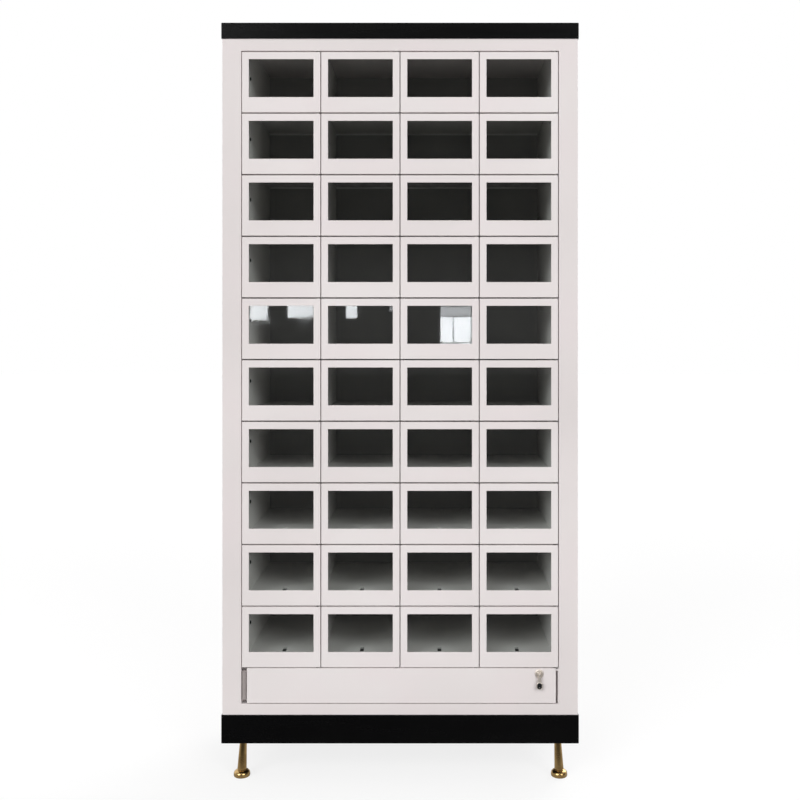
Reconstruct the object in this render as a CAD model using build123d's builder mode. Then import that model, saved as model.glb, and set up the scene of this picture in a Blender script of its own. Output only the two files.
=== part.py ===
from build123d import *
from math import hypot, radians, sqrt, tan
import os

# Freestanding parcel locker: four columns of ten glazed doors over a low service door.
# Millimetres. X runs to the right as seen from the front, the front faces -Y, Z is up.
# The origin is on the floor, under the centre of the bounding box.

# Cabinet
body_width = 900.0
body_depth = 395.0
leg_height = 100.0
plinth_height = 72.0
cap_height = 40.0
overhang = 2.5
stile_width = 48.0
bottom_rail_height = 28.0
top_rail_height = 31.0
stop_depth = 20.0
stop_width = 12.0
strike_plate_width = 2.7
strike_tab_width = 4.3
strike_tab_height = 4.5
strike_tab_drop = 2.5
liner_depth = 373.0
partition_thickness = 8.0
shelf_height = 23.5
shelf_rise = 2.25
shelf_box_back = 86.0
shelf_edge_height = 6.0
rear_recess = 3.0
rear_post = 20.0
rear_beam_depth = 15.0

# Sheets and clearances
shell_sheet = 1.2
liner_sheet = 1.0
cap_sheet = 1.5
plinth_sheet = 2.0
flange_width = 25.0
seam = 0.2
corner_round = 0.8
edge_round = 2.0

# Doors
rows = 10
columns = 4
column_gap = 2.2
row_gap = 3.4
door_height = 152.6
door_thickness = 18.0
door_proud = 2.0
door_round = 0.8
window_side = 17.2
window_top = 18.1
window_bottom = 38.5
glass_thickness = 4.0
glass_lap = 8.0
pan_window_margin = 6.0

# Door hinges
pivot_inset = 7.0
pivot_depth_in_door = 6.0
pin_diameter = 4.0
pin_fit = 0.05
pin_reach = 5.0
pivot_block_height = 6.0
pivot_block_margin = 6.0
bracket_sheet = 1.5
bracket_half_width = 5.0
bracket_flange_height = 18.0

# Striker, lock and sensor of each compartment
tongue_thickness = 2.5
tongue_height = 10.0
tongue_length = 20.0
tongue_hole_diameter = 5.0
tongue_hole_inset = 5.0
striker_foot_width = 20.0
striker_foot_height = 15.0
striker_foot_thickness = 1.8
mouth_clearance = 1.5
lock_width = 36.0
lock_height = 18.0
lock_length = 58.0
lock_setback = 0.5
bumper_diameter = 8.0
bumper_spacing = 120.0
bumper_gap = 0.3
release_slot_width = 10.0
release_slot_start = 45.0
release_slot_length = 36.0
sensor_diameter = 10.0
sensor_head = 2.5
sensor_stem = 5.0
sensor_stem_length = 3.0
sensor_depth = 52.0
sensor_above_centre = 22.2

# Service door, its hinge and its lock
service_height = 88.0
service_gap = 2.5
service_left_gap = 14.5
service_right_gap = 7.7
knuckle_radius = 5.8
knuckle_height = 24.0
knuckle_gap = 0.3
hinge_pivot_inset = 7.2
hinge_pivot_depth = 4.5
hinge_leaf_sheet = 1.0
hinge_leaf_reach = 14.0
hinge_pin_overhang = 1.0
lock_inset = 42.3
lock_below_top = 13.5
bezel_diameter = 22.0
bezel_thickness = 3.0
bezel_chamfer = 1.0
barrel_diameter = 19.0
barrel_depth = 20.0
lock_nut_diameter = 26.0
lock_nut_thickness = 4.0
lock_hole_clearance = 0.3
plug_diameter = 12.0
plug_fit = 0.05
cam_thickness = 2.0
cam_width = 14.0
cam_overlap = 7.0
cam_stop_clearance = 0.3
cam_tail_diameter = 8.0
cam_screw_diameter = 10.0
cam_screw_height = 2.0

# Folding key
key_pivot_reach = 5.0
key_blade_width = 8.0
key_pin_diameter = 2.0
key_pin_fit = 0.05
key_ring_radius = 2.0
key_ear_gap = 0.3
key_shank_width = 3.2
key_head_width = 16.0
key_head_thickness = 5.0
key_head_top = 19.0
key_head_bottom = 38.0
key_head_round = 7.5
key_hole_diameter = 4.0
key_hole_inset = 5.0

# Legs and feet
leg_top_diameter = 17.0
leg_bottom_diameter = 24.0
leg_splay = 2.4
foot_diameter = 42.0
foot_height = 16.0
foot_crown = 8.5
foot_heel = 3.0
foot_inset = 42.0
stud_diameter = 8.0
stud_length = 12.0
stud_clearance = 0.2

# Rear panel and control gear
screw_head_diameter = 9.0
screw_head_height = 2.0
screw_diameter = 4.0
screw_length = 12.0
screw_clearance = 0.1
screws_each_side = 5
screw_end_margin = 60.0
vent_slots = 12
vent_width = 4.0
vent_height = 50.0
vent_pitch = 12.0
vent_rise = 70.0
controller_size = (220.0, 150.0, 58.0)
controller_centre = (-170.0, 250.0)
supply_size = (190.0, 110.0, 50.0)
supply_centre = (130.0, 250.0)
housing_round = 3.0
inlet_width = 48.0
inlet_height = 22.0
inlet_body_width = 28.0
inlet_body_depth = 30.0
inlet_flange_sheet = 1.5
inlet_cavity = 14.0
inlet_x = -250.0
inlet_rise = 45.0

# Places along X
body_half = body_width / 2
opening_half = body_half - stile_width
stop_half = opening_half - stop_width
door_width = (2 * opening_half - (columns + 1) * column_gap) / columns
column_pitch = door_width + column_gap
window_width = door_width - 2 * window_side
pivot_offset = door_width / 2 - pivot_inset
column_centres = [(c - (columns - 1) / 2) * column_pitch for c in range(columns)]
partition_centres = [x + column_pitch / 2 for x in column_centres[:-1]]

# Places along Z
body_bottom = leg_height + plinth_height
service_bottom = body_bottom + bottom_rail_height + service_gap
service_top = service_bottom + service_height
lowest_door = service_top + service_gap
row_pitch = door_height + row_gap
row_bottoms = [lowest_door + (rows - 1 - r) * row_pitch for r in range(rows)]
top_rail_bottom = row_bottoms[0] + door_height + row_gap
body_top = top_rail_bottom + top_rail_height
roof_underside = body_top - shell_sheet
base_top = body_bottom + shell_sheet
liner_bottom = lowest_door + shelf_rise
window_height = door_height - window_top - window_bottom

# Depths behind the front of the face frame
door_front = -door_proud
door_back = door_front + door_thickness
pivot_depth = door_front + pivot_depth_in_door
rear_panel_back = body_depth - rear_recess
rear_panel_front = rear_panel_back - shell_sheet
lock_front = door_front - bezel_thickness
key_pivot_depth = lock_front - key_pivot_reach
key_front = key_pivot_depth - key_head_thickness / 2
frame_back = stop_depth + shell_sheet

# The front of the face frame lies where the key and the cap's rear are equally far from the origin.
frame_y = -(body_depth + overhang + key_front) / 2


def upright(depth):
    """The plane at a depth behind the face frame, with X to the right, Z up and its normal forward."""
    return Plane.XZ.offset(-(frame_y + depth))


def block(x, depth, z, mode=Mode.ADD):
    """A box from three pairs of limits, the second of them depths behind the face frame."""
    with BuildSketch(Plane.XY.offset(z[0])) as plan:
        with Locations(((x[0] + x[1]) / 2, frame_y + (depth[0] + depth[1]) / 2)):
            Rectangle(x[1] - x[0], depth[1] - depth[0])
    extrude(plan.sketch, amount=z[1] - z[0], mode=mode)


def rod(x, depth, z, radius, mode=Mode.ADD):
    """A vertical cylinder at a place in plan, between two heights."""
    with BuildSketch(Plane.XY.offset(z[0])) as plan:
        with Locations((x, frame_y + depth)):
            Circle(radius)
    extrude(plan.sketch, amount=z[1] - z[0], mode=mode)


def spindle(x, z, depth, radius, mode=Mode.ADD):
    """A cylinder along Y, between two depths."""
    with BuildSketch(upright(depth[1])) as outline:
        with Locations((x, z)):
            Circle(radius)
    extrude(outline.sketch, amount=depth[1] - depth[0], mode=mode)


def panel(width, height, centre, depth, mode=Mode.ADD, rounding=0.0):
    """An upright plate between two depths, centred on a place (x, z) as seen from the front."""
    with BuildSketch(upright(depth[1])) as outline:
        with Locations(centre):
            if rounding:
                RectangleRounded(width, height, rounding)
            else:
                Rectangle(width, height)
    extrude(outline.sketch, amount=depth[1] - depth[0], mode=mode)


def save(part, name):
    """Label a finished piece and write it."""
    part.label = name
    export_step(part, f"parts/{name}.step")


os.makedirs("parts", exist_ok=True)

# Face frame: two stiles with a stop flange behind the doors, two rails between them,
# and a narrow strike plate with a tab near its top, beside the service door's free end.
with BuildPart() as right_stile:
    with BuildSketch(Plane.XY.offset(body_bottom)):
        with BuildLine():
            Polyline(
                (body_half, frame_y),
                (opening_half, frame_y),
                (opening_half, frame_y + stop_depth),
                (stop_half, frame_y + stop_depth),
                (stop_half, frame_y + frame_back),
                (opening_half + shell_sheet, frame_y + frame_back),
                (opening_half + shell_sheet, frame_y + shell_sheet),
                (body_half, frame_y + shell_sheet),
                close=True,
            )
        make_face()
    extrude(amount=body_top - body_bottom)
    outer_edges = right_stile.edges().filter_by(Axis.Z).group_by(Axis.X)[-1]
    fillet(outer_edges.sort_by(Axis.Y)[0], corner_round)


def rail(low, high, flange_low):
    """A rail between the stiles, with a flange that runs back under or over the doors."""
    limits = (-opening_half + seam, opening_half - seam)
    with BuildPart() as made:
        block(limits, (0, shell_sheet), (low, high))
        block(limits, (0, stop_depth - seam), (flange_low, flange_low + shell_sheet))
    return made.part


bottom_rail_top = body_bottom + bottom_rail_height
strike_right = opening_half - seam
strike_left = opening_half - strike_plate_width
strike_tab_top = service_top - strike_tab_drop
top_rail = rail(top_rail_bottom, body_top, top_rail_bottom)
bottom_rail = rail(body_bottom, bottom_rail_top, bottom_rail_top - shell_sheet)
with BuildPart() as face_frame:
    add(right_stile.part)
    mirror(about=Plane.YZ)
    add(top_rail)
    add(bottom_rail)
    block((strike_left, strike_right), (0, shell_sheet), (bottom_rail_top + seam, service_top))
    block(
        (strike_left - strike_tab_width, strike_left),
        (0, shell_sheet),
        (strike_tab_top - strike_tab_height, strike_tab_top),
    )
save(face_frame.part, "face_frame")

# Outer shell: side, roof and base panels, and the posts and beams that the rear panel screws to.
inner_half = body_half - shell_sheet
post_depths = (rear_panel_front - rear_post, rear_panel_front)
beam_depths = (rear_panel_front - rear_beam_depth, rear_panel_front)
screw_hole = screw_diameter / 2 + screw_clearance
post_axis_x = inner_half - seam - rear_post / 2
screw_rise = base_top + screw_end_margin
screw_span = roof_underside - base_top - 2 * screw_end_margin
screw_places = [
    (side * post_axis_x, screw_rise + screw_span * i / (screws_each_side - 1))
    for side in (-1, 1)
    for i in range(screws_each_side)
]
with BuildPart() as outer_shell:
    for side in (-1, 1):
        edges = sorted((side * inner_half, side * body_half))
        block(edges, (shell_sheet, body_depth), (body_bottom, body_top))
    cross_limits = (-inner_half + seam, inner_half - seam)
    block(cross_limits, (frame_back, body_depth), (roof_underside, body_top))
    block(cross_limits, (frame_back, body_depth), (body_bottom, base_top))
    for side in (-1, 1):
        limits = sorted((side * (inner_half - seam), side * (inner_half - seam - rear_post)))
        hollow = (limits[0] + shell_sheet, limits[1] - shell_sheet)
        block(limits, post_depths, (base_top + seam, roof_underside - seam))
        block(
            hollow,
            (post_depths[0] + shell_sheet, post_depths[1] - shell_sheet),
            (base_top + seam, roof_underside - seam),
            Mode.SUBTRACT,
        )
    beam_half = inner_half - rear_post - 2 * seam
    for low in (base_top + seam, roof_underside - seam - rear_post):
        block((-beam_half, beam_half), beam_depths, (low, low + rear_post))
        block(
            (-beam_half, beam_half),
            (beam_depths[0] + shell_sheet, beam_depths[1] - shell_sheet),
            (low + shell_sheet, low + rear_post - shell_sheet),
            Mode.SUBTRACT,
        )
    for x, z in screw_places:
        spindle(x, z, (rear_panel_front - shell_sheet, rear_panel_front), screw_hole, Mode.SUBTRACT)
save(outer_shell.part, "outer_shell")

# Liner: the painted side and back walls of the compartments.
side_liner_outer = stop_half
side_liner_inner = stop_half - liner_sheet
sensor_places = [bottom + door_height / 2 + sensor_above_centre for bottom in row_bottoms]
sensor_hole = sensor_stem / 2 + seam
with BuildPart() as liner_panels:
    for side in (-1, 1):
        edges = sorted((side * side_liner_inner, side * side_liner_outer))
        block(edges, (stop_depth, liner_depth), (liner_bottom, roof_underside))
    block(
        (-side_liner_outer, side_liner_outer),
        (liner_depth + seam, liner_depth + seam + liner_sheet),
        (liner_bottom, roof_underside),
    )
    with BuildSketch(Plane.YZ.offset(-side_liner_outer)):
        with Locations(*[(frame_y + sensor_depth, z) for z in sensor_places]):
            Circle(sensor_hole)
    extrude(amount=liner_sheet, mode=Mode.SUBTRACT)
save(liner_panels.part, "liner_panels")

# Partitions: thin hollow walls between the columns, with sensor holes in their right faces.
partition_half = partition_thickness / 2
with BuildPart() as partitions:
    for x in partition_centres:
        block(
            (x - partition_half, x + partition_half),
            (stop_depth, liner_depth),
            (liner_bottom, roof_underside),
        )
        block(
            (x - partition_half + liner_sheet, x + partition_half - liner_sheet),
            (stop_depth + liner_sheet, liner_depth - liner_sheet),
            (liner_bottom, roof_underside),
            Mode.SUBTRACT,
        )
        with BuildSketch(Plane.YZ.offset(x + partition_half - liner_sheet)):
            with Locations(*[(frame_y + sensor_depth, z) for z in sensor_places]):
                Circle(sensor_hole)
        extrude(amount=liner_sheet, mode=Mode.SUBTRACT)
save(partitions.part, "partitions")

# The walls that close each column, from left to right.
wall_lefts = [-side_liner_inner] + [x + partition_half for x in partition_centres]
wall_rights = [x - partition_half for x in partition_centres] + [side_liner_inner]

# Heights and sizes of the latch, counted from a door's bottom edge.
lock_seat = shelf_rise + liner_sheet
latch_height = lock_seat + lock_height / 2
striker_back = door_back + seam + striker_foot_thickness
tongue_tip = striker_back + tongue_length
tongue_corner = pivot_offset + tongue_thickness / 2
tip_radius = hypot(tongue_corner, tongue_tip - pivot_depth)
tip_at_stop = sqrt(tip_radius**2 - (stop_depth - pivot_depth) ** 2)
mouth_left = -(tongue_thickness / 2 + tip_at_stop - tongue_corner + mouth_clearance)
mouth_right = tongue_thickness / 2 + mouth_clearance
mouth_low = latch_height - tongue_height / 2 - mouth_clearance
mouth_high = latch_height + tongue_height / 2 + mouth_clearance
lock_face = stop_depth + liner_sheet + lock_setback
shelf_top = shelf_rise + shelf_height


def shelf_in(column):
    """A shelf plate with a hollow box under its front, which has a latch mouth and a release slot."""
    centre = column_centres[column]
    width = (wall_lefts[column], wall_rights[column])
    with BuildPart() as shelf:
        block(width, (stop_depth, shelf_box_back), (shelf_rise, shelf_top))
        block(
            width,
            (stop_depth + liner_sheet, shelf_box_back - liner_sheet),
            (shelf_rise + liner_sheet, shelf_top - liner_sheet),
            Mode.SUBTRACT,
        )
        block(width, (stop_depth, liner_depth), (shelf_top - liner_sheet, shelf_top))
        block(
            width,
            (liner_depth - liner_sheet, liner_depth),
            (shelf_top - shelf_edge_height, shelf_top),
        )
        block(
            (centre + mouth_left, centre + mouth_right),
            (stop_depth, stop_depth + liner_sheet),
            (mouth_low, mouth_high),
            Mode.SUBTRACT,
        )
        block(
            (centre - release_slot_width / 2, centre + release_slot_width / 2),
            (release_slot_start, release_slot_start + release_slot_length),
            (shelf_top - liner_sheet, shelf_top),
            Mode.SUBTRACT,
        )
    return shelf.part


column_shelves = [shelf_in(column) for column in range(columns)]
with BuildPart() as shelves:
    with Locations(*[(0, 0, bottom) for bottom in row_bottoms]):
        add(column_shelves)
save(shelves.part, "shelves")

# Electric locks: one on the floor of each shelf's hollow, open in front for the striker.
with BuildPart() as one_lock:
    block(
        (-lock_width / 2, lock_width / 2),
        (lock_face, lock_face + lock_length),
        (lock_seat, lock_seat + lock_height),
    )
    block(
        (mouth_left, mouth_right),
        (lock_face, tongue_tip + mouth_clearance),
        (mouth_low, mouth_high),
        Mode.SUBTRACT,
    )
with BuildPart() as electric_locks:
    with Locations(*[(x, 0, bottom) for x in column_centres for bottom in row_bottoms]):
        add(one_lock.part)
save(electric_locks.part, "electric_locks")

# Sensor eyes: a stem through the wall and a round head on its face.
with BuildPart() as sensor_eyes:
    for left in wall_lefts:
        with BuildSketch(Plane.YZ.offset(left)):
            with Locations(*[(frame_y + sensor_depth, z) for z in sensor_places]):
                Circle(sensor_diameter / 2)
        extrude(amount=sensor_head)
        with BuildSketch(Plane.YZ.offset(left)):
            with Locations(*[(frame_y + sensor_depth, z) for z in sensor_places]):
                Circle(sensor_stem / 2)
        extrude(amount=-sensor_stem_length)
save(sensor_eyes.part, "sensor_eyes")

# Hinge brackets: a plate in each gap between doors, with a pin up, a pin down or both.
pin_radius = pin_diameter / 2
flange_depths = (stop_depth - bracket_sheet, stop_depth)


def bracket_plate(middle):
    """The plate of a bracket around the pin's place, in the right half of a column centred at zero."""
    limits = (middle - bracket_sheet / 2, middle + bracket_sheet / 2)
    rod(pivot_offset, pivot_depth, limits, bracket_half_width)
    block(
        (pivot_offset - bracket_half_width, pivot_offset + bracket_half_width),
        (pivot_depth, stop_depth),
        limits,
    )


def bracket(pin_up, pin_down, gap, middle, has_flange):
    """One bracket, its plate's middle at the given height above the middle of its gap."""
    with BuildPart() as made:
        bracket_plate(middle)
        if has_flange:
            block(
                (pivot_offset - bracket_half_width, pivot_offset + bracket_half_width),
                flange_depths,
                (middle, gap / 2 + shelf_rise + bracket_flange_height),
            )
        if pin_up:
            rod(pivot_offset, pivot_depth, (middle, gap / 2 + pin_reach), pin_radius)
        if pin_down:
            rod(pivot_offset, pivot_depth, (-gap / 2 - pin_reach, middle), pin_radius)
    return made.part


upper_bracket = bracket(False, True, row_gap, (row_gap - bracket_sheet) / 2, False)
middle_bracket = bracket(True, True, row_gap, 0, True)
lower_bracket = bracket(True, False, service_gap, 0, True)
with BuildPart() as hinge_brackets:
    with Locations(*[(x, 0, top_rail_bottom - row_gap / 2) for x in column_centres]):
        add(upper_bracket)
    with Locations(*[(x, 0, bottom - row_gap / 2) for x in column_centres for bottom in row_bottoms[:-1]]):
        add(middle_bracket)
    with Locations(*[(x, 0, lowest_door - service_gap / 2) for x in column_centres]):
        add(lower_bracket)
save(hinge_brackets.part, "hinge_brackets")

# One glazed door, centred at X zero with its bottom edge at Z zero.
door_middle = (0, door_height / 2)
window_middle = (0, window_bottom + window_height / 2)
skin_inside = door_front + shell_sheet
pin_hole = pin_radius + pin_fit
block_right = door_width / 2 - shell_sheet
with BuildPart() as leaf:
    panel(door_width, door_height, door_middle, (door_front, door_back))
    fillet(leaf.faces().sort_by(Axis.Y)[0].edges(), door_round)
    panel(
        door_width - 2 * shell_sheet,
        door_height - 2 * shell_sheet,
        door_middle,
        (skin_inside, door_back),
        Mode.SUBTRACT,
    )
    panel(window_width, window_height, window_middle, (door_front, skin_inside), Mode.SUBTRACT)
    for low in (shell_sheet, door_height - shell_sheet - pivot_block_height):
        block(
            (pivot_offset - pivot_block_margin, block_right),
            (skin_inside, pivot_depth + pivot_block_margin),
            (low, low + pivot_block_height),
        )
    rod(pivot_offset, pivot_depth, (0, door_height), pin_hole, Mode.SUBTRACT)

glass_front = skin_inside + seam
glass_back = glass_front + glass_thickness
with BuildPart() as glass:
    panel(
        window_width + 2 * glass_lap,
        window_height + 2 * glass_lap,
        window_middle,
        (glass_front, glass_back),
    )

# The inner pan closes the leaf's back and presses the glass with a lip round its own wider opening.
pan_front = door_back - liner_sheet
pan_opening_width = window_width + 2 * pan_window_margin
pan_opening_height = window_height + 2 * pan_window_margin
with BuildPart() as inner_pan:
    panel(
        door_width - 2 * shell_sheet - 2 * seam,
        door_height - 2 * shell_sheet - 2 * seam,
        door_middle,
        (pan_front, door_back),
    )
    panel(
        pan_opening_width + 2 * liner_sheet,
        pan_opening_height + 2 * liner_sheet,
        window_middle,
        (glass_back + seam, pan_front),
    )
    panel(pan_opening_width, pan_opening_height, window_middle, (glass_back, door_back), Mode.SUBTRACT)

with BuildPart() as striker:
    panel(
        striker_foot_width,
        striker_foot_height,
        (0, latch_height),
        (door_back + seam, striker_back),
    )
    panel(tongue_thickness, tongue_height, (0, latch_height), (striker_back, tongue_tip))
    with BuildSketch(Plane.YZ.offset(-tongue_thickness / 2)):
        with Locations((frame_y + tongue_tip - tongue_hole_inset, latch_height)):
            Circle(tongue_hole_diameter / 2)
    extrude(amount=tongue_thickness, mode=Mode.SUBTRACT)

with BuildPart() as compartment_door:
    add(leaf.part)
    add(glass.part)
    add(inner_pan.part)
    add(striker.part)
    for side in (-1, 1):
        spindle(
            side * bumper_spacing / 2,
            latch_height,
            (door_back + seam, stop_depth - bumper_gap),
            bumper_diameter / 2,
        )

for row, bottom in enumerate(row_bottoms, start=1):
    for column, centre in enumerate(column_centres, start=1):
        hung_door = compartment_door.part.moved(Location((centre, 0, bottom)))
        save(hung_door, f"door_r{row:02d}_c{column}")

# Rear panel: a plain cover with ventilation slots, screw holes and a hole for the power inlet.
rear_middle = (0, (base_top + roof_underside) / 2)
inlet_place = (inlet_x, base_top + inlet_rise)
with BuildPart() as rear_panel:
    panel(
        2 * (inner_half - seam),
        roof_underside - base_top - 2 * seam,
        rear_middle,
        (rear_panel_front, rear_panel_back),
        rounding=edge_round,
    )
    for x, z in screw_places:
        spindle(x, z, (rear_panel_front, rear_panel_back), screw_hole, Mode.SUBTRACT)
    panel(
        inlet_body_width + 2 * seam,
        inlet_height + 2 * seam,
        inlet_place,
        (rear_panel_front, rear_panel_back),
        Mode.SUBTRACT,
    )
    with BuildSketch(upright(rear_panel_back)):
        with Locations((0, base_top + vent_rise)):
            with GridLocations(vent_pitch, 1, vent_slots, 1):
                SlotOverall(vent_height, vent_width, rotation=90)
    extrude(amount=shell_sheet, mode=Mode.SUBTRACT)
save(rear_panel.part, "rear_panel")

with BuildPart() as rear_screws:
    for x, z in screw_places:
        screw_tip = rear_panel_back - screw_length
        spindle(x, z, (screw_tip, rear_panel_back), screw_diameter / 2)
        head_depths = (rear_panel_back, rear_panel_back + screw_head_height)
        spindle(x, z, head_depths, screw_head_diameter / 2)
save(rear_screws.part, "rear_screws")


def flanged_box(z, sheet, mouth):
    """A hollow box over the whole footprint, open inside a flange between the mouth's heights."""
    half = body_half + overhang
    depths = (-overhang, body_depth + overhang)
    with BuildPart() as made:
        block((-half, half), depths, z)
        fillet(made.edges().filter_by(Axis.Z), edge_round)
        block(
            (-half + sheet, half - sheet),
            (depths[0] + sheet, depths[1] - sheet),
            (z[0] + sheet, z[1] - sheet),
            Mode.SUBTRACT,
        )
        block(
            (-half + flange_width, half - flange_width),
            (depths[0] + flange_width, depths[1] - flange_width),
            mouth,
            Mode.SUBTRACT,
        )
    return made.part


# Top cap and plinth
cap_mouth = (body_top, body_top + cap_sheet)
cap_box = flanged_box((body_top, body_top + cap_height), cap_sheet, cap_mouth)
with BuildPart() as top_cap:
    add(cap_box)
save(top_cap.part, "top_cap")

foot_x = body_half - foot_inset
splay_shift = (leg_height - foot_height) * tan(radians(leg_splay))
leg_corners = [(side_x, side_y) for side_x in (-1, 1) for side_y in (-1, 1)]


def foot_place(side_x, side_y):
    """Where a foot stands in plan, as X and a depth."""
    return side_x * foot_x, body_depth / 2 + side_y * (body_depth / 2 - foot_inset)


def leg_top_place(side_x, side_y):
    """Where a leg meets the plinth in plan. The legs lean outwards to both sides."""
    x, depth = foot_place(side_x, side_y)
    return x - side_x * splay_shift, depth - side_y * splay_shift


plinth_mouth = (body_bottom - plinth_sheet, body_bottom)
plinth_box = flanged_box((leg_height, body_bottom), plinth_sheet, plinth_mouth)
with BuildPart() as plinth:
    add(plinth_box)
    for corner in leg_corners:
        rod(
            *leg_top_place(*corner),
            (leg_height, leg_height + plinth_sheet),
            stud_diameter / 2 + stud_clearance,
            Mode.SUBTRACT,
        )
save(plinth.part, "plinth")

# Legs: slim tapered rods that lean outwards, each with a stud into the plinth.
with BuildPart() as legs:
    for corner in leg_corners:
        foot_centre_x, foot_depth = foot_place(*corner)
        top_x, top_depth = leg_top_place(*corner)
        with BuildSketch(Plane.XY.offset(foot_height)):
            with Locations((foot_centre_x, frame_y + foot_depth)):
                Circle(leg_bottom_diameter / 2)
        with BuildSketch(Plane.XY.offset(leg_height)):
            with Locations((top_x, frame_y + top_depth)):
                Circle(leg_top_diameter / 2)
        loft()
        rod(top_x, top_depth, (leg_height, leg_height + stud_length), stud_diameter / 2)
save(legs.part, "legs")

with BuildPart() as feet:
    for corner in leg_corners:
        rod(*foot_place(*corner), (0, foot_height), foot_diameter / 2)
    fillet(feet.faces().group_by(Axis.Z)[-1].edges(), foot_crown)
    fillet(feet.faces().group_by(Axis.Z)[0].edges(), foot_heel)
save(feet.part, "feet")

# Service door: a low folded tray with a back plate, hinged at its left end.
service_left = -opening_half + service_left_gap
service_right = opening_half - service_right_gap
service_width = service_right - service_left
service_middle = ((service_left + service_right) / 2, (service_bottom + service_top) / 2)
lock_x = service_right - lock_inset
lock_z = service_top - lock_below_top
lock_hole = barrel_diameter / 2 + lock_hole_clearance
with BuildPart() as service_leaf:
    panel(service_width, service_height, service_middle, (door_front, door_back))
    fillet(service_leaf.faces().sort_by(Axis.Y)[0].edges(), door_round)
    panel(
        service_width - 2 * shell_sheet,
        service_height - 2 * shell_sheet,
        service_middle,
        (skin_inside, door_back - liner_sheet),
        Mode.SUBTRACT,
    )
    spindle(lock_x, lock_z, (door_front, door_back), lock_hole, Mode.SUBTRACT)

# The service door's hinge: two outer knuckles on the frame, one between them on the door.
hinge_x = service_left - hinge_pivot_inset
knuckle_pitch = knuckle_height + knuckle_gap
knuckle_middles = [service_middle[1] + i * knuckle_pitch for i in (-1, 0, 1)]
knuckles = [(middle - knuckle_height / 2, middle + knuckle_height / 2) for middle in knuckle_middles]
hinge_span = (knuckles[0][0], knuckles[2][1])
knuckle_back = hinge_pivot_depth + knuckle_radius
web_depths = (knuckle_back - hinge_leaf_sheet, knuckle_back)
with BuildPart() as service_hinge:
    leaf_left = -opening_half
    block(
        (leaf_left, leaf_left + hinge_leaf_sheet),
        (hinge_pivot_depth, hinge_pivot_depth + hinge_leaf_reach),
        hinge_span,
    )
    for span in (knuckles[0], knuckles[2]):
        rod(hinge_x, hinge_pivot_depth, span, knuckle_radius)
        block((leaf_left, hinge_x), web_depths, span)
    pin_span = (hinge_span[0] - hinge_pin_overhang, hinge_span[1] + hinge_pin_overhang)
    rod(hinge_x, hinge_pivot_depth, pin_span, pin_radius)
save(service_hinge.part, "service_door_hinge")

leaf_right = service_left - seam
with BuildPart() as service_hinge_leaf:
    rod(hinge_x, hinge_pivot_depth, knuckles[1], knuckle_radius)
    block((hinge_x, leaf_right), web_depths, knuckles[1])
    block(
        (leaf_right - hinge_leaf_sheet, leaf_right),
        (hinge_pivot_depth, door_back - liner_sheet),
        knuckles[1],
    )
    rod(hinge_x, hinge_pivot_depth, knuckles[1], pin_radius + pin_fit, Mode.SUBTRACT)

with BuildPart() as service_door:
    add(service_leaf.part)
    add(service_hinge_leaf.part)
save(service_door.part, "service_door")

# Cam lock: a bezel and barrel with its nut behind the skin, bored for the plug.
plug_bore = plug_diameter / 2 + plug_fit
with BuildPart() as cam_lock:
    spindle(lock_x, lock_z, (lock_front, door_front), bezel_diameter / 2)
    front_face = cam_lock.faces().sort_by(Axis.Y)[0]
    chamfer(front_face.edges(), bezel_chamfer)
    spindle(lock_x, lock_z, (door_front, barrel_depth), barrel_diameter / 2)
    with BuildSketch(upright(door_back + lock_nut_thickness)):
        with Locations((lock_x, lock_z)):
            RegularPolygon(lock_nut_diameter / 2, 6)
            Circle(barrel_diameter / 2, mode=Mode.SUBTRACT)
    extrude(amount=lock_nut_thickness)
    spindle(lock_x, lock_z, (lock_front, barrel_depth), plug_bore, Mode.SUBTRACT)
save(cam_lock.part, "cam_lock")

# Plug, with the key's blade in it and two ears for the key's pin in front.
cam_front = frame_back + cam_stop_clearance
cam_back = cam_front + cam_thickness
cam_reach = stop_half - lock_x + cam_overlap
cam_bore = cam_tail_diameter / 2 + plug_fit
with BuildPart() as plug:
    spindle(lock_x, lock_z, (lock_front, cam_front - seam), plug_diameter / 2)
    spindle(lock_x, lock_z, (cam_front - seam, cam_back), cam_tail_diameter / 2)
    for side in (-1, 1):
        inner = key_shank_width / 2 + key_ear_gap
        block(
            sorted((lock_x + side * inner, lock_x + side * key_blade_width / 2)),
            (key_pivot_depth - key_ring_radius, lock_front),
            (lock_z - key_ring_radius, lock_z + key_ring_radius),
        )
    with BuildSketch(Plane.YZ.offset(lock_x - key_blade_width / 2)):
        with Locations((frame_y + key_pivot_depth, lock_z)):
            Circle(key_pin_diameter / 2)
    extrude(amount=key_blade_width)

# Cam: a flat tongue on the plug's tail, which hangs down when the door is unlocked.
with BuildPart() as cam:
    block(
        (lock_x - cam_width / 2, lock_x + cam_width / 2),
        (cam_front, cam_back),
        (lock_z - cam_reach, lock_z),
    )
    spindle(lock_x, lock_z, (cam_front, cam_back), cam_width / 2)
    spindle(lock_x, lock_z, (cam_front, cam_back), cam_bore, Mode.SUBTRACT)

with BuildPart() as key_and_plug:
    add(plug.part)
    add(cam.part)
    spindle(
        lock_x,
        lock_z,
        (cam_back + seam, cam_back + seam + cam_screw_height),
        cam_screw_diameter / 2,
    )
save(key_and_plug.part, "key_and_plug")

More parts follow.
